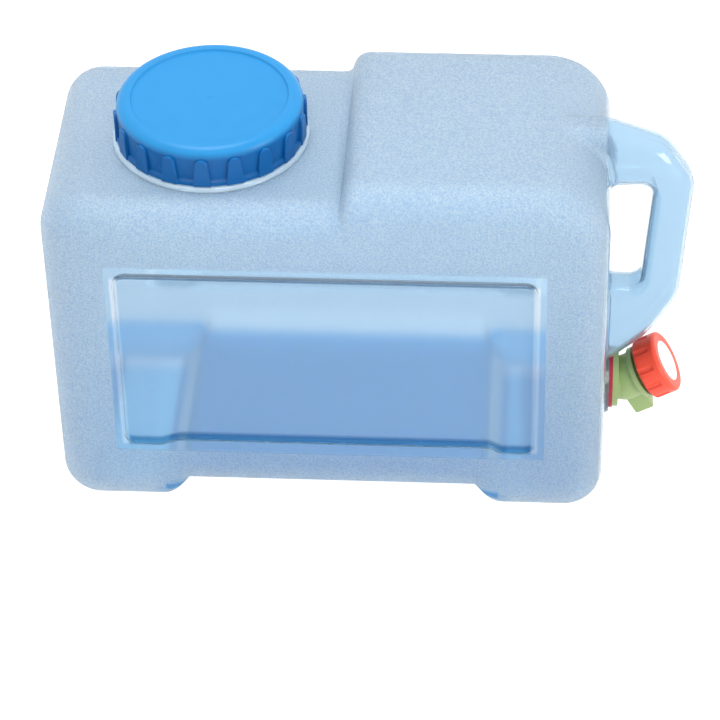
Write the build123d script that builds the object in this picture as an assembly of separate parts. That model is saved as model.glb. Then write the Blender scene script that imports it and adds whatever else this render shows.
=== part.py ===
from build123d import *
from math import cos, radians, sin, tan
import os

# Portable water container: a blow-moulded bottle lying on its long side, with a wide
# screw lid on the low end and a twist tap below the loop handle on the other end.
# Millimetres. +Z up, +X from the lid end to the handle end, -Y is the front.
# The origin is on the ground, in the middle of the bounding box.

# ---- container shell
X_LEFT = -195.0
X_RIGHT = 145.0
DEPTH = 162.0
Z_UNDER = 14.5  # underside between the feet
Z_LOW = 234.0  # top of the lid end
Z_HIGH = 249.0  # top of the handle end
WALL = 1.8
EDGE_R = 20.0  # rounding of the front and back edges
CORNER_R = 24.0  # corners of the side view
SHOULDER_R = 38.0  # the corner above the handle
STEP_X = -11.5  # where the raised end begins, at its top
STEP_LEAN = 4.0  # how far the step leans out over its height
STEP_R = 9.5
FOOT_LEFT_X = -128.0  # inner ends of the two feet
FOOT_RIGHT_X = 79.5
FOOT_LEAN = 11.0
FOOT_R = 11.0
STEP_CREASE_R = 8.0  # inside corner at the foot of the step
FOOT_CREASE_R = 5.0  # inside corners beside the feet
CREASE_SPREAD = 78.0  # how far the softened corners follow the rounded edges, in degrees
CREASE_SINK = 0.15  # how deep their ends dip below the surfaces beside them

# ---- recessed window panels, front and back
WIN_LEFT = -151.5
WIN_RIGHT = 102.0
WIN_FOOT_Z = 51.8  # lower edge above the feet
WIN_BOTTOM = 56.0  # lower edge between the feet
WIN_TOP = 184.5
WIN_R = 7.0
WIN_DEPTH = 3.2

# ---- loop handle
HANDLE_HALF = 12.5
HANDLE_WALL = 2.0
HANDLE_OUTER_R = 10.0
HANDLE_HOLE_R = 7.0
HANDLE_ROOT_R = 5.0  # where the upper arm leaves the shell
HANDLE_FOOT_R = 3.0  # where the lower arm leaves it

# ---- neck and its thread
NECK_X = -97.0
NECK_R = 50.2
NECK_BORE = 47.8
NECK_TOP = 257.2
COLLAR_R = 60.0
COLLAR_TOP = 237.0
THREAD_DEPTH = 2.0
THREAD_BASE = 3.0
THREAD_TIP = 1.4
LID_PITCH = 6.0
NECK_THREAD_Z = 243.5
NECK_THREAD_TURNS = 1.6

# ---- lid
LID_BOTTOM = 237.8
LID_TOP = 262.6
LID_DISC_TOP = 261.4
LID_INSIDE_TOP = 259.2
LID_BORE = 52.7
LID_SKIRT_R = 55.8
LID_BAND_R = 57.6
LID_BAND_TOP = 240.2
LID_RING_R = 47.7  # raised ring on the top
LID_PLUG_R = 47.1  # short collar inside the lid that enters the neck
LID_PLUG_BORE = 45.6
LID_PLUG_DEPTH = 4.2
LID_DIMPLE_R = 2.8
RIB_COUNT = 18
RIB_TOP = 256.4
RIB_R = 58.2
RIB_WIDTH = 10.8
GASKET_T = 2.0

# ---- tap, whose pipe runs along +X
TAP_Z = 47.0
BOSS_R = 22.0
BOSS_FACE = 148.5
BOSS_WALL = 2.4
SHANK_R = 11.0
HOLE_R = 11.4
SEAL_T = 2.5
FLANGE_R = 18.4
FLANGE_T = 3.5
PIPE_R = 14.0
INLET_BORE = 8.0
INLET_END = 144.0
SHANK_END = 127.0
VALVE_X = 159.0  # where the valve axis crosses the pipe axis
VALVE_TILT = 30.0
CHAMBER_R = 8.0
SEAT_S = -4.0  # distances along the valve axis from the pipe axis
SEAT_HOLE_R = 5.0
BARREL_R = 14.5
BARREL_END = 12.5
BONNET_R = 11.8
BONNET_END = 23.6
KNOB_PITCH = 5.0
KNOB_THREAD_DEPTH = 1.1
SPOUT_SIDE = 12.6
SPOUT_LENGTH = 25.4
SPOUT_BORE = 4.6
SPOUT_S = 1.1

# ---- plunger
RING_HEIGHTS = (10.4, 14.2)
RING_T = 2.1

# ---- knob
KNOB_R = 20.0
KNOB_REAR = 15.3
KNOB_FRONT = 30.6
KNOB_BORE = 13.3
KNOB_WEB = 25.0
KNOB_WEB_T = 2.2
DISC_R = 13.4
DISC_T = 1.2

BOTTOM_UP = (Align.CENTER, Align.CENTER, Align.MIN)
valve = Plane(
    origin=(VALVE_X, 0, TAP_Z),
    x_dir=(sin(radians(VALVE_TILT)), 0, -cos(radians(VALVE_TILT))),
    z_dir=(cos(radians(VALVE_TILT)), 0, sin(radians(VALVE_TILT))),
)


def rounded_polygon(corners):
    """Face in the XZ plane from (x, z, radius) corners; radius 0 leaves a sharp corner."""
    starts, ends, middles = [], [], []
    count = len(corners)
    for k, (x, z, r) in enumerate(corners):
        xa, za, _ = corners[k - 1]
        xb, zb, _ = corners[(k + 1) % count]
        here = Vector(x, 0, z)
        to_a = (Vector(xa, 0, za) - here).normalized()
        to_b = (Vector(xb, 0, zb) - here).normalized()
        half = radians(to_a.get_angle(to_b)) / 2
        if r <= 0:
            starts.append(here)
            ends.append(here)
            middles.append(None)
            continue
        reach = r / tan(half)
        centre = here + (to_a + to_b).normalized() * (r / sin(half))
        starts.append(here + to_a * reach)
        ends.append(here + to_b * reach)
        middles.append(centre + (here - centre).normalized() * r)
    edges = []
    for k in range(count):
        if middles[k] is not None:
            edges.append(ThreePointArc(starts[k], middles[k], ends[k]))
        following = starts[(k + 1) % count]
        if (following - ends[k]).length > 1e-6:
            edges.append(Line(ends[k], following))
    return make_face(edges)


def prism(corners, half):
    """Side view extruded to both sides of the middle plane."""
    return extrude(rounded_polygon(corners), amount=half, dir=(0, 1, 0), both=True)


def side_edges(solid, half, keep):
    """Edges lying in the two side planes whose centre passes the given test."""
    return [
        e
        for e in solid.edges()
        if abs(abs(e.center().Y) - half) < 0.01 and e.bounding_box().size.Y < 0.01 and keep(e.center())
    ]


def end_loop(solid, near, keep):
    """Edges of the flat end face nearest to a point, less the ones the test leaves out."""
    face = min(solid.faces(), key=lambda f: (f.center() - Vector(*near)).length)
    return [e for e in face.edges() if keep(e.center())]


def soft_crease(corners, inset, lift):
    """Strip with a rounded inside corner, carried across the depth and around the long edges.

    The corners outline it in the side view; lift is 1 on the underside and -1 on the top.
    """
    flat = DEPTH / 2 - EDGE_R
    edge = EDGE_R - inset

    def on_edge(degrees, side):
        turn = radians(degrees)
        return Vector(0, side * (flat + edge * sin(turn)), lift * edge * (1 - cos(turn)))

    path = Wire(
        [
            ThreePointArc(on_edge(CREASE_SPREAD, -1), on_edge(CREASE_SPREAD / 2, -1), on_edge(0, -1)),
            Line(on_edge(0, -1), on_edge(0, 1)),
            ThreePointArc(on_edge(0, 1), on_edge(CREASE_SPREAD / 2, 1), on_edge(CREASE_SPREAD, 1)),
        ]
    )
    profile = Pos(*on_edge(CREASE_SPREAD, -1)) * rounded_polygon(corners)
    return sweep(profile, path=path, normal=(0, 1, 0))


def step_crease(inset):
    low, high = Z_LOW - inset - CREASE_SINK, Z_HIGH - inset - CREASE_SINK
    top_x = STEP_X + inset + CREASE_SINK
    foot_x = top_x - STEP_LEAN
    deep = Z_LOW - 44.0
    corners = [
        (foot_x - 14, low, 0),
        (foot_x, low, STEP_CREASE_R + inset),
        (top_x, high, STEP_R - inset),
        (top_x + 20, high, 0),
        (top_x + 20, deep, 0),
        (foot_x - 14, deep, 0),
    ]
    return soft_crease(corners, inset, -1)


def foot_crease(end_x, side, inset):
    """Softened corner between a foot's inner end and the underside; side is 1 at the left foot."""
    base, under = inset + CREASE_SINK, Z_UNDER + inset + CREASE_SINK
    tip_x = end_x - side * CREASE_SINK
    root_x = tip_x + side * FOOT_LEAN
    deep = Z_UNDER + 44.0
    corners = [
        (tip_x - side * 20, base, 0),
        (tip_x, base, FOOT_R - inset),
        (root_x, under, FOOT_CREASE_R + inset),
        (root_x + side * 14, under, 0),
        (root_x + side * 14, deep, 0),
        (tip_x - side * 20, deep, 0),
    ]
    return soft_crease(corners, inset, 1)


def shell_form(inset):
    """The container's outer shape, or with an inset the space inside it."""
    half = DEPTH / 2 - inset
    edge = EDGE_R - inset
    corner = CORNER_R - inset
    left, right = X_LEFT + inset, X_RIGHT - inset
    base, under = inset, Z_UNDER + inset
    low, high = Z_LOW - inset, Z_HIGH - inset

    shoulder = SHOULDER_R - inset
    form = prism(
        [(left, under, corner), (right, under, corner), (right, low, shoulder), (left, low, corner)], half
    )
    form = fillet(side_edges(form, half, lambda c: True), edge)

    # raised end, leaning back from the lid
    cut = 170.0
    slope = STEP_LEAN / (Z_HIGH - Z_LOW)
    step_top = STEP_X + inset
    step_low = step_top - slope * (high - cut)
    outline = [(step_low, cut, 0), (right, cut, 0), (right, high, shoulder + 2), (step_top, high, 0)]
    raised = prism(outline, half)
    lean_mid = (step_top + step_low) / 2
    raised = fillet(side_edges(raised, half, lambda c: c.Z > cut + 1 and c.X > lean_mid + 5), edge)
    loop = end_loop(raised, (lean_mid, 0, (high + cut) / 2), lambda c: c.Z > cut + 1)
    form += fillet(loop, STEP_R - inset)
    form += step_crease(inset)

    # feet at both ends, across the full depth
    top = 70.0
    lean = FOOT_LEAN / Z_UNDER
    for outer, inner, side in ((left, FOOT_LEFT_X - inset, 1), (right, FOOT_RIGHT_X + inset, -1)):
        inner_top = inner + side * lean * (top - base)
        foot = prism([(outer, base, corner), (inner, base, 0), (inner_top, top, 0), (outer, top, 0)], half)
        middle = (inner + inner_top) / 2
        chain = side_edges(foot, half, lambda c: c.Z < top - 1 and side * (middle - 5 * side - c.X) > 0)
        foot = fillet(chain, edge)
        loop = end_loop(foot, (middle, 0, (top + base) / 2), lambda c: c.Z < top - 1)
        form += fillet(loop, FOOT_R - inset)
        form += foot_crease(inner, side, inset)
    return form


def window_slab(inset, grow):
    """Material taken off the front and back faces to sink the window panels."""
    face_y = DEPTH / 2 - inset
    low, high = WIN_FOOT_Z - grow, WIN_TOP + grow
    mid = WIN_BOTTOM - grow
    left, right = WIN_LEFT - grow, WIN_RIGHT + grow
    panel = prism(
        [
            (left, low, WIN_R + grow),
            (FOOT_LEFT_X - 2, low, 5),
            (FOOT_LEFT_X + FOOT_LEAN - 3, mid, 5),
            (FOOT_RIGHT_X - FOOT_LEAN + 5, mid, 5),
            (FOOT_RIGHT_X + 3, low, 5),
            (right, low, WIN_R + grow),
            (right, high, WIN_R + grow),
            (left, high, WIN_R + grow),
        ],
        face_y + 5,
    )
    core = Pos(0, 0, 120) * Box(600, 2 * (face_y - WIN_DEPTH), 400)
    return panel - core


def handle_form(inset):
    """Loop handle, drawn solid; with an inset, the hollow inside it."""
    i = inset
    half = HANDLE_HALF - i
    outside = [
        (110.0, 248.4 - i, 0),
        (142.0, 248.9 - i, 40 - i),
        (178.9 - 0.7 * i, 235.5 - i, 26 - i),
        (195.8 - i, 209.5 - 0.5 * i, 18 - i),
        (189.8 - i, 121.5, 30 - i),
        (171.5 - 0.8 * i, 88.5 + 0.3 * i, 50 - i),
        (148.5 - 0.7 * i, 67.3 + 0.9 * i, 0),
        (128.0, 67.3 + 0.9 * i, 0),
        (128.0, 235.0, 0),
        (110.0, 235.0, 0),
    ]
    hole = [
        (144.0 - i, 127.5 - i, 7 + i),
        (165.4 + i, 127.5 - i, 8 + i),
        (171.4 + i, 208.6 + i, 8 + i),
        (144.0 - i, 207.0 + i, 7 + i),
    ]
    form = prism(outside, half) - prism(hole, half + 5)

    def at_hole(c):
        return 143 - i < c.X < 174 and 126 - i < c.Z < 210 + i

    def at_outside(c):
        in_shell = c.X < 129 and c.Z < 236
        return c.X > 111 and c.Z > 67.5 + i and not at_hole(c) and not in_shell

    form = fillet(side_edges(form, half, at_hole), HANDLE_HOLE_R - i)
    return fillet(side_edges(form, half, at_outside), HANDLE_OUTER_R - i)


def thread_ridge(root, crest, pitch, turns, base, tip):
    """Helical ridge about Z, starting on the +X side at z = 0; crest < root points inwards."""
    way = 1 if crest > root else -1
    path = Helix(pitch=pitch, height=pitch * turns, radius=root)
    section = Plane(origin=path @ 0, x_dir=(1, 0, 0), z_dir=path % 0)
    depth = abs(crest - root)
    inner, outer = -way * 0.4, way * depth
    points = [(inner, -base / 2), (outer, -tip / 2), (outer, tip / 2), (inner, base / 2)]
    face = section * make_face(Polyline(*points, close=True))
    return sweep(face, path=path, is_frenet=True)


def disc(radius, low, high, bore=0.0):
    """Washer or cylinder about Z between two heights."""
    solid = Pos(0, 0, low) * Cylinder(radius, high - low, align=BOTTOM_UP)
    if bore > 0:
        solid -= Pos(0, 0, low - 1) * Cylinder(bore, high - low + 2, align=BOTTOM_UP)
    return solid


def along_x(radius, x0, x1, bore=0.0):
    """Washer or cylinder about the tap's pipe axis between two X positions."""
    return Pos(0, 0, TAP_Z) * Rot(0, 90, 0) * disc(radius, x0, x1, bore)


def is_low_root(c):
    """True for the line around the foot of the handle's lower arm."""
    return abs(c.Y) < HANDLE_HALF + 0.5 and 66 < c.Z < 133


def make_container():
    shell = shell_form(0)
    handle = handle_form(0)
    outer = shell + handle
    joins = new_edges(shell, handle, combined=outer).filter_by(lambda e: e.center().X > 118)
    upper = [e for e in joins if e.center().Z > 135]
    outer = fillet(upper, HANDLE_ROOT_R)
    lower = [e for e in outer.edges() if abs(e.center().X - X_RIGHT) < 0.05 and is_low_root(e.center())]
    outer = fillet(lower, HANDLE_FOOT_R)
    outer -= window_slab(0, 0)
    outer += Pos(0, 0, TAP_Z) * Rot(0, 90, 0) * Pos(0, 0, X_RIGHT - 6) * Cone(
        BOSS_R + 4, BOSS_R, BOSS_FACE - X_RIGHT + 6, align=BOTTOM_UP
    )
    collar = disc(COLLAR_R, Z_LOW - 1, COLLAR_TOP)
    outer += Pos(NECK_X, 0, 0) * fillet(collar.edges().sort_by(Axis.Z)[-1], 2.4)
    outer += Pos(NECK_X, 0, 0) * disc(NECK_R, Z_LOW - 1, NECK_TOP)

    inner = shell_form(WALL) - window_slab(WALL, 1.0)
    inner += handle_form(HANDLE_WALL)
    inner += along_x(BOSS_R - 1.5, X_RIGHT - 6, BOSS_FACE - BOSS_WALL)
    inner += along_x(HOLE_R, X_RIGHT - 6, BOSS_FACE + 5)
    inner += Pos(NECK_X, 0, 0) * disc(NECK_BORE, Z_LOW - 10, NECK_TOP + 5)
    body = outer - inner

    ridge = thread_ridge(
        NECK_R, NECK_R + THREAD_DEPTH, LID_PITCH, NECK_THREAD_TURNS, THREAD_BASE, THREAD_TIP
    )
    return body + Pos(NECK_X, 0, NECK_THREAD_Z) * ridge


def make_lid():
    outline = Polyline(
        (0, LID_DISC_TOP),
        (LID_RING_R - 0.8, LID_DISC_TOP),
        (LID_RING_R, LID_TOP),
        (LID_RING_R + 2.6, LID_TOP),
    )
    shoulder = ThreePointArc(
        (LID_RING_R + 2.6, LID_TOP),
        (LID_SKIRT_R - 1.0, LID_TOP - 2.0),
        (LID_SKIRT_R + 0.7, LID_TOP - 6.5),
    )
    skirt = Polyline(
        (LID_SKIRT_R + 0.7, LID_TOP - 6.5),
        (LID_SKIRT_R, LID_BAND_TOP + 1.2),
        (LID_BAND_R, LID_BAND_TOP),
        (LID_BAND_R, LID_BOTTOM),
        (LID_BORE, LID_BOTTOM),
        (LID_BORE, LID_INSIDE_TOP),
        (LID_PLUG_R, LID_INSIDE_TOP),
        (LID_PLUG_R, LID_INSIDE_TOP - LID_PLUG_DEPTH),
        (LID_PLUG_BORE, LID_INSIDE_TOP - LID_PLUG_DEPTH),
        (LID_PLUG_BORE, LID_INSIDE_TOP),
        (0, LID_INSIDE_TOP),
        (0, LID_DISC_TOP),
    )
    section = Plane.XZ * make_face(outline.edges() + shoulder.edges() + skirt.edges())
    lid = revolve(section, Axis.Z)
    lid -= Pos(0, 0, LID_DISC_TOP + 2.2) * Sphere(LID_DIMPLE_R)

    # arch-topped grip rib on the +X side, repeated around
    height = RIB_TOP - LID_BOTTOM
    low_half, high_half = RIB_WIDTH / 2, RIB_WIDTH / 2 - 1.3
    arch = make_face(
        [
            Line((-low_half, 0), (low_half, 0)),
            Line((low_half, 0), (high_half, height - high_half)),
            ThreePointArc((high_half, height - high_half), (0, height), (-high_half, height - high_half)),
            Line((-high_half, height - high_half), (-low_half, 0)),
        ]
    )
    tangent = Plane(origin=(LID_SKIRT_R - 1.5, 0, LID_BOTTOM), x_dir=(0, 1, 0), z_dir=(1, 0, 0))
    rib = extrude(tangent * arch, amount=RIB_R - LID_SKIRT_R + 1.5)
    rib = chamfer(rib.faces().sort_by(Axis.X)[-1].edges().sort_by(Axis.Z)[1:], 0.5)
    ribs = [Rot(0, 0, 360 / RIB_COUNT * k - 90) * rib for k in range(RIB_COUNT)]
    lid += ribs

    ridge = thread_ridge(LID_BORE, LID_BORE - THREAD_DEPTH, LID_PITCH, 1.5, THREAD_BASE, THREAD_TIP)
    lid += Pos(0, 0, NECK_THREAD_Z - LID_PITCH / 2) * ridge
    return Pos(NECK_X, 0, 0) * lid


def make_tap_body():
    flange_x = BOSS_FACE + SEAL_T
    body = along_x(FLANGE_R, flange_x, flange_x + FLANGE_T)
    body += along_x(PIPE_R, flange_x + 1, VALVE_X + 2)
    body += along_x(SHANK_R - 0.8, SHANK_END, flange_x + 1)
    ridge = thread_ridge(SHANK_R - 0.8, SHANK_R, 2.5, 7.0, 1.5, 0.5)
    body += Pos(SHANK_END + 1.5, 0, TAP_Z) * Rot(0, 90, 0) * ridge

    elbow = Pos(VALVE_X, 0, TAP_Z) * Sphere(PIPE_R + 0.3)
    body += elbow - along_x(PIPE_R + 1, VALVE_X - PIPE_R - 1, flange_x + 1)
    barrel = disc(BARREL_R, 0, BARREL_END)
    barrel += disc(BARREL_R + 2.2, BARREL_END - 3.2, BARREL_END)
    barrel += disc(BONNET_R, BARREL_END - 1, BONNET_END)
    barrel += Pos(0, 0, BARREL_END + 2.5) * thread_ridge(
        BONNET_R, BONNET_R + KNOB_THREAD_DEPTH, KNOB_PITCH, 1.3, 1.9, 0.9
    )
    spout = Pos(0, 0, SPOUT_S) * Rot(0, 90, 0) * Box(
        SPOUT_SIDE, SPOUT_SIDE, SPOUT_LENGTH, align=BOTTOM_UP
    )
    body += valve * (barrel + fillet(spout.edges().filter_by(Plane.YZ, reverse=True), 1.2))

    spout_hole = Pos(0, 0, SPOUT_S) * Rot(0, 90, 0) * disc(SPOUT_BORE, 0, SPOUT_LENGTH + 2)
    body -= along_x(INLET_BORE, SHANK_END - 1, INLET_END)
    body -= along_x(SEAT_HOLE_R, INLET_END - 1, VALVE_X - 8.5)
    chamber = disc(CHAMBER_R, SEAT_S, BONNET_END + 2) + disc(SEAT_HOLE_R, -9.5, SEAT_S + 1)
    body -= valve * (chamber + spout_hole)
    return body


def make_locknut(inner_face):
    nut = along_x(17.5, inner_face - 7.0, inner_face)
    for k in range(12):
        groove = Pos(0, 0, TAP_Z) * Rot(30 * k, 0, 0) * Pos(inner_face - 3.5, 0, 18.6)
        nut -= groove * Rot(0, 90, 0) * Cylinder(2.2, 5.0)
    return nut - along_x(SHANK_R + 0.05, inner_face - 9, inner_face + 1)


def make_stem():
    stem = disc(6.4, SEAT_S + 2.5, SEAT_S + 4.2)
    stem += disc(3.2, SEAT_S + 4.0, 8.0)
    stem += disc(7.6, 7.6, 17.0)
    stem += disc(3.4, 16.5, KNOB_WEB + KNOB_WEB_T + 0.1)
    stem += disc(5.6, 23.2, KNOB_WEB - 0.1)
    for height in RING_HEIGHTS:
        stem -= disc(9.0, height - 1.15, height + 1.15, 5.75)
    stem -= disc(1.5, 19.0, KNOB_WEB + 5)
    stem -= disc(1.5, SEAT_S, SEAT_S + 6.0)
    return valve * stem


def make_knob():
    knob = disc(KNOB_R, KNOB_REAR, KNOB_FRONT)
    knob = fillet(knob.edges().sort_by(Axis.Z)[-1], 2.4)
    knob = fillet(knob.edges().sort_by(Axis.Z)[0], 1.2)
    knob -= disc(KNOB_BORE + 0.9, KNOB_REAR - 1, KNOB_WEB)
    knob -= disc(3.6, KNOB_WEB - 1, KNOB_WEB + KNOB_WEB_T + 1)
    knob -= disc(DISC_R + 0.1, KNOB_WEB + KNOB_WEB_T, KNOB_FRONT + 1)
    knob += disc(DISC_R + 0.5, KNOB_WEB + KNOB_WEB_T - 0.2, KNOB_FRONT - 0.3 - DISC_T, DISC_R - 2.0)
    for k in range(10):
        notch = Rot(0, 0, 36 * k + 18) * Pos(KNOB_R + 1.4, 0, KNOB_REAR - 1)
        knob -= notch * Cylinder(2.6, 11.5, align=BOTTOM_UP)
    ridge = thread_ridge(KNOB_BORE + 0.9, BONNET_R + 0.35, KNOB_PITCH, 1.3, 1.9, 0.9)
    knob += Pos(0, 0, BARREL_END + 2.5 + KNOB_PITCH / 2) * ridge
    return valve * knob


def make_parts():
    gasket_face = BOSS_FACE - BOSS_WALL
    web_top = KNOB_WEB + KNOB_WEB_T + 0.1
    ring = Torus(CHAMBER_R - 0.1 - RING_T / 2, RING_T / 2)
    return {
        "container_body": make_container(),
        "lid": make_lid(),
        "lid_gasket": Pos(NECK_X, 0, 0) * disc(52.2, NECK_TOP, LID_INSIDE_TOP, 47.5),
        "tap_body": make_tap_body(),
        "tap_gasket_outer": along_x(19.2, BOSS_FACE, BOSS_FACE + SEAL_T, SHANK_R + 0.05),
        "tap_gasket_inner": along_x(18.0, gasket_face - 2.0, gasket_face, SHANK_R + 0.05),
        "tap_locknut": make_locknut(gasket_face - 2.0),
        "tap_stem": make_stem(),
        "stem_seal_inner": valve * Pos(0, 0, RING_HEIGHTS[0]) * ring,
        "stem_seal_outer": valve * Pos(0, 0, RING_HEIGHTS[1]) * ring,
        "valve_seal": valve * disc(7.2, SEAT_S, SEAT_S + 2.5, 1.6),
        "tap_knob": make_knob(),
        "knob_disc": valve * disc(DISC_R, KNOB_FRONT - 0.3 - DISC_T, KNOB_FRONT - 0.3),
        "knob_washer": valve * disc(6.0, web_top, web_top + 0.7, 1.7),
        "knob_screw": valve * (disc(3.2, web_top + 0.7, web_top + 1.5) + disc(1.45, 20.0, web_top + 0.8)),
    }


os.makedirs("parts", exist_ok=True)
for name, solid in make_parts().items():
    export_step(solid, f"parts/{name}.step")
    print(name, len(solid.solids()), round(solid.volume, 1), solid.is_valid)
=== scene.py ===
import bpy
from math import cos, radians, sin
from mathutils import Matrix, Vector

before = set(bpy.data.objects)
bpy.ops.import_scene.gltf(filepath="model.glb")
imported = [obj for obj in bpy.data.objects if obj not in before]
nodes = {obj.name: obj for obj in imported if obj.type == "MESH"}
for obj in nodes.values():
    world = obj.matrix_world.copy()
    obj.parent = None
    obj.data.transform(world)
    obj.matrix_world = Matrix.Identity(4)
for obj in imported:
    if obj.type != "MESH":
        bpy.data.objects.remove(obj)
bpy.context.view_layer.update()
scene = bpy.context.scene
scene.view_settings.view_transform = "Standard"

# ---------------------------------------------------------------- light levels
FLOOR_GLOW = 1.04
SKY_LOW = 1.00
SKY_HIGH = 1.06
KEY_POWER = 30.0
SIDE_POWER = 3.0

# ---------------------------------------------------------------- places on the shell, in metres
WINDOW_LEFT, WINDOW_RIGHT = -0.1500, 0.1005
WINDOW_LOW, WINDOW_HIGH = 0.0518, 0.1862
LEDGE_BETWEEN_FEET = 0.0560  # lower edge of the window between the feet
FRAME_LEFT, FRAME_RIGHT = -0.1575, 0.1085  # smooth border round the window
FRAME_LOW, FRAME_HIGH = 0.0470, 0.1930
PANEL_DEPTH = 0.0755  # the sunk panel and its slopes lie further out than this
END_WALL_X = 0.1415
COLLAR_Z = 0.2345
NECK_END_X = -0.030
FEET_INSIDE = (-0.1290, 0.0805)  # between the two feet
LEFT_SLOPE = (-0.1340, -0.1170)  # sloping inner end of each foot
RIGHT_SLOPE = (0.0685, 0.0860)
UNDERSIDE = (0.0128, 0.0185)  # heights around the underside between the feet
LINE_WIDTH = 0.0040
LID_PAINTED_SHADE_HEIGHTS = (0.2555, 0.2600)  # heights where the painted shade on the lid's skirt fades into its top

# ---------------------------------------------------------------- tints of the shell, and painted shade, shadow and highlight
CLEAR_TINT = (0.61, 0.775, 0.90)
FROSTED_TINT = (0.86, 0.955, 1.0)
# painted shade under the container, partly also the thicker bottom wall
SLOPE_PAINTED_SHADE = (0.60, 0.80, 0.94)
UNDERSIDE_PAINTED_SHADE = (0.055, 0.45, 0.85)
FOOT_PAINTED_SHADE = (0.055, 0.40, 0.78)
FOOT_BACK_PAINTED_SHADE = (0.17, 0.54, 0.86)
# painted shade along the window's lower edge
LEDGE_PAINTED_SHADE = (0.22, 0.46, 0.66)
# painted shadow under the window's top edge
TOP_LINE_PAINTED_SHADOW = (0.10, 0.22, 0.36)
# painted highlight along the window's side edges
SIDE_LINE_PAINTED_HIGHLIGHT = (0.95, 0.98, 1.0)
PEBBLE_TINT = (0.55, 0.67, 0.83)

# ---------------------------------------------------------------- surface of the shell and the lid
CLEAR_ROUGHNESS, FROSTED_ROUGHNESS = 0.10, 0.48
PEBBLE_SCALE = 850.0
PEBBLE_STRENGTH = 0.8
PEBBLE_HEIGHT = 0.0009
WALL_CLARITY, NECK_CLARITY = 0.88, 0.45
# painted shade: multiplied into the lid's skirt to darken it
SKIRT_PAINTED_SHADE = (0.12, 0.44, 0.62)


# ---------------------------------------------------------------- camera
def make_camera():
    """Camera above the front side, looking down on the container, rolled very slightly."""
    azimuth, elevation, roll = radians(4.18), radians(40.49), radians(1.29)
    back = Vector((sin(azimuth) * cos(elevation), -cos(azimuth) * cos(elevation), sin(elevation)))
    side = Vector((cos(azimuth), sin(azimuth), 0))
    up = back.cross(side)
    right = side * cos(roll) - up * sin(roll)
    top = side * sin(roll) + up * cos(roll)
    data = bpy.data.cameras.new("camera")
    data.lens = 160.6
    data.shift_x = -0.0127
    data.shift_y = -0.0097
    data.clip_end = 50
    camera = bpy.data.objects.new("camera", data)
    scene.collection.objects.link(camera)
    place = Matrix((right, top, back)).transposed().to_4x4()
    place.translation = Vector((0.10927, -1.55589, 1.39396))
    camera.matrix_world = place
    scene.camera = camera


make_camera()


# ---------------------------------------------------------------- node helpers
def new_material(name):
    material = bpy.data.materials.new(name)
    material.use_nodes = True
    tree = material.node_tree
    return material, tree, tree.nodes["Principled BSDF"]


def put(tree, kind, **inputs):
    """Adds a shader node; keywords name its inputs by label with underscores, or by number as i0, i1."""
    node = tree.nodes.new(kind)
    for key, value in inputs.items():
        number = key[1:]
        socket = node.inputs[int(number)] if number.isdigit() else node.inputs[key.replace("_", " ")]
        if isinstance(value, bpy.types.NodeSocket):
            tree.links.new(value, socket)
        else:
            socket.default_value = value
    return node


def maths(tree, operation, a, b=0.0, clamp=False):
    node = put(tree, "ShaderNodeMath", i0=a, i1=b)
    node.operation = operation
    node.use_clamp = clamp
    return node.outputs[0]


def ramp(tree, value, low, high, first=0.0, last=1.0):
    """Straight ramp from one value to another, held flat outside its limits."""
    node = put(tree, "ShaderNodeMapRange", Value=value)
    for socket, number in zip(("From Min", "From Max", "To Min", "To Max"), (low, high, first, last)):
        node.inputs[socket].default_value = number
    return node.outputs[0]


def blend(tree, share, first, second, mode="MIX"):
    """Mixes two colours, each given as numbers or as another node's output."""
    node = put(tree, "ShaderNodeMix")
    node.data_type = "RGBA"
    node.blend_type = mode
    tree.links.new(share, node.inputs[0])
    for number, colour in ((6, first), (7, second)):
        if isinstance(colour, bpy.types.NodeSocket):
            tree.links.new(colour, node.inputs[number])
        else:
            node.inputs[number].default_value = (*colour, 1)
    return node.outputs[2]


def coordinates(tree):
    return put(tree, "ShaderNodeTexCoord").outputs["Object"]


def wear(tree, shader, low, high, scale, roughness, bump=0.0, bump_scale=400.0):
    """Slight mottling of colour and gloss with a fine moulded grain."""
    where = coordinates(tree)
    cloud = put(tree, "ShaderNodeTexNoise", Vector=where, Scale=scale, Detail=4.0).outputs["Fac"]
    tree.links.new(blend(tree, cloud, low, high), shader.inputs["Base Color"])
    tree.links.new(ramp(tree, cloud, 0.3, 0.7, *roughness), shader.inputs["Roughness"])
    if bump > 0:
        noise = put(tree, "ShaderNodeTexNoise", Vector=where, Scale=bump_scale, Detail=2.0)
        grain = noise.outputs["Fac"]
        relief = put(tree, "ShaderNodeBump", Strength=bump, Distance=0.0002, Height=grain)
        tree.links.new(relief.outputs[0], shader.inputs["Normal"])


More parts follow.
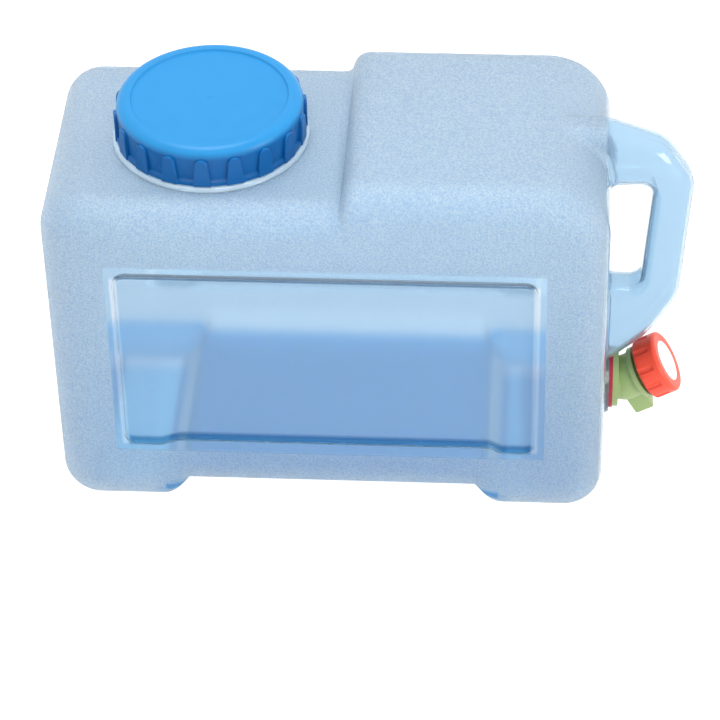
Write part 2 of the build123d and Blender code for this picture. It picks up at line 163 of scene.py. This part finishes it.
# ---------------------------------------------------------------- materials
def shell_material():
    """Blue-tinted translucent plastic: pebbled skin outside the windows, clear and smooth on them."""
    material, tree, shader = new_material("tinted_shell")
    where = coordinates(tree)
    place = put(tree, "ShaderNodeSeparateXYZ", Vector=where).outputs
    x, z = place[0], place[2]
    depth = maths(tree, "ABSOLUTE", place[1])

    def beyond(value, edge, soft):
        """0 below the edge, 1 above it."""
        return ramp(tree, value, edge - soft, edge + soft)

    def below(value, edge, soft):
        """1 below the edge, 0 above it."""
        return ramp(tree, value, edge - soft, edge + soft, 1.0, 0.0)

    def between(value, limits, soft):
        low, high = limits
        return all_of(beyond(value, low, soft), below(value, high, soft))

    def all_of(*masks):
        joined = masks[0]
        for mask in masks[1:]:
            joined = maths(tree, "MULTIPLY", joined, mask)
        return joined

    def any_of(*masks):
        joined = masks[0]
        for mask in masks[1:]:
            joined = maths(tree, "MAXIMUM", joined, mask)
        return joined

    # smooth zones: the windows, the handle with the end wall, and the neck
    frame_x = between(x, (FRAME_LEFT, FRAME_RIGHT), 0.0008)
    frame_z = all_of(beyond(z, FRAME_LOW, 0.0010), below(z, FRAME_HIGH, 0.0008))
    window = all_of(frame_x, frame_z, beyond(depth, 0.074, 0.001))
    handle = beyond(x, END_WALL_X, 0.001)
    neck = all_of(beyond(z, COLLAR_Z, 0.0003), below(x, NECK_END_X, 0.001))
    frost = maths(tree, "SUBTRACT", 1.0, any_of(window, handle, neck))

    # edges of the sunk panels: painted shade along the lower edge, painted shadow under the top edge,
    # painted highlights along the sides
    raised_edge = all_of(beyond(x, -0.1235, 0.0065), below(x, 0.0785, 0.0040))
    ledge_z = ramp(tree, raised_edge, 0.0, 1.0, WINDOW_LOW, LEDGE_BETWEEN_FEET)
    above_ledge = maths(tree, "SUBTRACT", z, ledge_z)
    outside = beyond(depth, PANEL_DEPTH, 0.0003)
    across = all_of(between(x, (WINDOW_LEFT, WINDOW_RIGHT), 0.0012), outside)
    # painted shade on the panel's lower edge
    low_band = all_of(across, beyond(above_ledge, -0.0004, 0.0004), below(above_ledge, 0.0040, 0.0008))
    # painted shadow under the panel's top edge
    line_z = between(z, (WINDOW_HIGH - 0.0024, WINDOW_HIGH), 0.0003)
    top_line = all_of(across, line_z, beyond(depth, 0.0774, 0.0002))
    # painted highlights along the panel's sides
    left_line = between(x, (WINDOW_LEFT - LINE_WIDTH, WINDOW_LEFT), 0.0005)
    right_line = between(x, (WINDOW_RIGHT, WINDOW_RIGHT + LINE_WIDTH), 0.0005)
    side_lines = all_of(any_of(left_line, right_line), between(z, (0.0520, 0.1840), 0.0010), outside)

    roughness = ramp(tree, frost, 0.0, 1.0, CLEAR_ROUGHNESS, FROSTED_ROUGHNESS)
    tree.links.new(roughness, shader.inputs["Roughness"])
    noise = put(tree, "ShaderNodeTexNoise", Vector=where, Scale=PEBBLE_SCALE, Detail=2.0, Roughness=0.55)
    pebble = noise.outputs["Fac"]
    strength = maths(tree, "MULTIPLY", frost, PEBBLE_STRENGTH)
    relief = put(tree, "ShaderNodeBump", Strength=strength, Distance=PEBBLE_HEIGHT, Height=pebble)
    tree.links.new(relief.outputs[0], shader.inputs["Normal"])

    # painted shade under the container, partly also the depth of the thicker bottom wall: deeper tints
    # on the underside, the foot slopes, the foot bottoms and the back of the feet
    low, high = UNDERSIDE
    feet_back = all_of(below(z, high, 0.0012), beyond(place[1], 0.062, 0.004))
    under = all_of(below(z, high, 0.0012), beyond(z, low, 0.0008), between(x, FEET_INSIDE, 0.0010))
    foot_floor = all_of(below(z, 0.0040, 0.0015), below(depth, 0.060, 0.012))
    foot_back = all_of(feet_back, maths(tree, "SUBTRACT", 1.0, under))
    left_slope = all_of(beyond(x, LEFT_SLOPE[0], 0.0020), below(x, LEFT_SLOPE[1], 0.0015))
    right_slope = all_of(beyond(x, RIGHT_SLOPE[0], 0.0015), below(x, RIGHT_SLOPE[1], 0.0020))
    slopes = all_of(between(z, (0.0042, 0.0160), 0.0010), any_of(left_slope, right_slope))
    speck = all_of(ramp(tree, pebble, 0.36, 0.66), frost)
    colour = blend(tree, frost, CLEAR_TINT, FROSTED_TINT)
    # painted shade, shadow and highlight laid over the plain tint
    zones = (
        (slopes, SLOPE_PAINTED_SHADE),
        (under, UNDERSIDE_PAINTED_SHADE),
        (foot_floor, FOOT_PAINTED_SHADE),
        (foot_back, FOOT_BACK_PAINTED_SHADE),
        (low_band, LEDGE_PAINTED_SHADE),
        (top_line, TOP_LINE_PAINTED_SHADOW),
        (side_lines, SIDE_LINE_PAINTED_HIGHLIGHT),
    )
    for zone, tint in zones:
        colour = blend(tree, zone, colour, tint)
    colour = blend(tree, speck, colour, PEBBLE_TINT, "MULTIPLY")
    tree.links.new(colour, shader.inputs["Base Color"])
    clarity = ramp(tree, neck, 0.0, 1.0, WALL_CLARITY, NECK_CLARITY)
    tree.links.new(clarity, shader.inputs["Transmission Weight"])
    shader.inputs["IOR"].default_value = 1.5
    return material


def plastic(name, low, high, roughness=(0.3, 0.42), bump=0.12):
    material, tree, shader = new_material(name)
    wear(tree, shader, low, high, 90.0, roughness, bump)
    return material


def lid_material():
    """Glossy blue, with painted shade making the skirt darker than the top."""
    material, tree, shader = new_material("lid_blue")
    wear(tree, shader, (0.014, 0.215, 0.50), (0.019, 0.240, 0.54), 90.0, (0.3, 0.42), 0.12)
    shader.inputs["Specular IOR Level"].default_value = 0.25
    top_colour = shader.inputs["Base Color"].links[0].from_socket
    height = put(tree, "ShaderNodeSeparateXYZ", Vector=coordinates(tree)).outputs[2]
    # painted shade: the skirt below the top is darkened by height
    skirt = ramp(tree, height, *LID_PAINTED_SHADE_HEIGHTS, 1.0, 0.0)
    colour = blend(tree, skirt, top_colour, SKIRT_PAINTED_SHADE, "MULTIPLY")
    tree.links.new(colour, shader.inputs["Base Color"])
    return material


def steel():
    material, tree, shader = new_material("steel")
    wear(tree, shader, (0.55, 0.55, 0.56), (0.68, 0.68, 0.69), 300.0, (0.25, 0.4), 0.1, 1500.0)
    shader.inputs["Metallic"].default_value = 1.0
    return material


finishes = {
    "container_body": shell_material(),
    "lid": lid_material(),
    "lid_gasket": plastic("seal_white", (0.74, 0.74, 0.72), (0.82, 0.82, 0.80), (0.5, 0.65)),
    "tap_green": plastic("tap_green", (0.28, 0.39, 0.145), (0.32, 0.43, 0.17)),
    "seal_red": plastic("seal_red", (0.34, 0.012, 0.03), (0.42, 0.02, 0.04), (0.45, 0.6)),
    "seal_black": plastic("seal_black", (0.02, 0.02, 0.02), (0.035, 0.035, 0.035), (0.5, 0.65)),
    "tap_stem": plastic("stem_white", (0.76, 0.77, 0.76), (0.84, 0.85, 0.84)),
    "tap_knob": plastic("knob_red", (0.79, 0.058, 0.022), (0.84, 0.070, 0.030)),
    "knob_disc": plastic("disc_white", (0.82, 0.82, 0.81), (0.88, 0.88, 0.87)),
    "steel": steel(),
}
shared = {
    "tap_body": "tap_green",
    "tap_locknut": "tap_green",
    "tap_gasket_outer": "seal_red",
    "tap_gasket_inner": "seal_red",
    "stem_seal_inner": "seal_black",
    "stem_seal_outer": "seal_black",
    "valve_seal": "seal_black",
    "knob_washer": "steel",
    "knob_screw": "steel",
}
for name, node in nodes.items():
    node.data.materials.clear()
    node.data.materials.append(finishes[shared.get(name, name)])


# ---------------------------------------------------------------- stage
def make_stage():
    """Pale floor that glows softly, a sky slightly brighter overhead, and two soft lamps."""
    mesh = bpy.data.meshes.new("floor")
    mesh.from_pydata([(-6, -6, 0), (6, -6, 0), (6, 6, 0), (-6, 6, 0)], [], [(0, 1, 2, 3)])
    floor = bpy.data.objects.new("floor", mesh)
    scene.collection.objects.link(floor)
    material, tree, shader = new_material("pale_floor")
    shader.inputs["Base Color"].default_value = (0.20, 0.20, 0.20, 1)
    shader.inputs["Roughness"].default_value = 0.9
    shader.inputs["Specular IOR Level"].default_value = 0.0
    shader.inputs["Emission Color"].default_value = (1, 1, 1, 1)
    shader.inputs["Emission Strength"].default_value = FLOOR_GLOW
    floor.data.materials.append(material)

    world = bpy.data.worlds.new("studio")
    world.use_nodes = True
    tree = world.node_tree
    direction = put(tree, "ShaderNodeTexCoord").outputs["Generated"]
    height = put(tree, "ShaderNodeSeparateXYZ", Vector=direction).outputs[2]
    back = tree.nodes["Background"]
    back.inputs[0].default_value = (1, 1, 1, 1)
    tree.links.new(ramp(tree, height, 0.0, 0.9, SKY_LOW, SKY_HIGH), back.inputs[1])
    scene.world = world

    lamps = (
        ("key", (-0.2, 0.15, 2.3), 1.2, KEY_POWER),
        ("side", (0.75, -0.45, 0.40), 0.4, SIDE_POWER),
    )
    for name, spot, size, power in lamps:
        lamp = bpy.data.lights.new(name, "AREA")
        lamp.shape = "SQUARE"
        lamp.size = size
        lamp.energy = power
        light = bpy.data.objects.new(name, lamp)
        scene.collection.objects.link(light)
        light.location = spot
        aim = Vector((0, 0, 0.1)) - Vector(spot)
        light.rotation_euler = aim.to_track_quat("-Z", "Y").to_euler()


make_stage()
